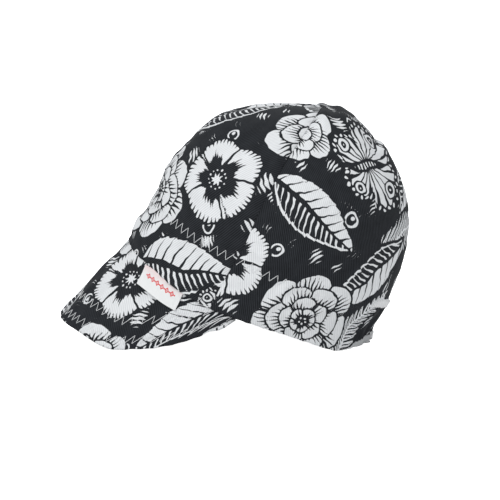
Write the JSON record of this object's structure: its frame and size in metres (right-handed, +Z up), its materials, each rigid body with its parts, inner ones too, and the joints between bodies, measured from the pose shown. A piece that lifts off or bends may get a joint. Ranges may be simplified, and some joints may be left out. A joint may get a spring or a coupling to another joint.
{
  "type": "welder's cap",
  "caption": "Soft four-panel cotton twill cap with a short flexible bill, an inside band, a gathered back and a small woven side tag.",
  "frame": {"origin": "on the surface that the cap stands on, under the middle of its overall length and width", "axes": "-X is where the bill points, +X is the back of the cap, +Y is the wearer's right, +Z is up"},
  "size_m": [0.2716, 0.1834, 0.1832],
  "materials": {
    "crown_twill": "black cotton twill with a white ink-style print",
    "bill_twill": "off-white cotton twill with a black ink-style print",
    "band_twill": "matte black cotton twill",
    "tag_satin": "white woven satin ribbon"
  },
  "bodies": {
    "root": {"crown_front_left": "crown_twill", "crown_front_right": "crown_twill", "crown_back_left": "crown_twill", "crown_back_right": "crown_twill", "bill": "bill_twill", "sweatband": "band_twill", "side_tag": "tag_satin"}
  },
  "joints": []
}
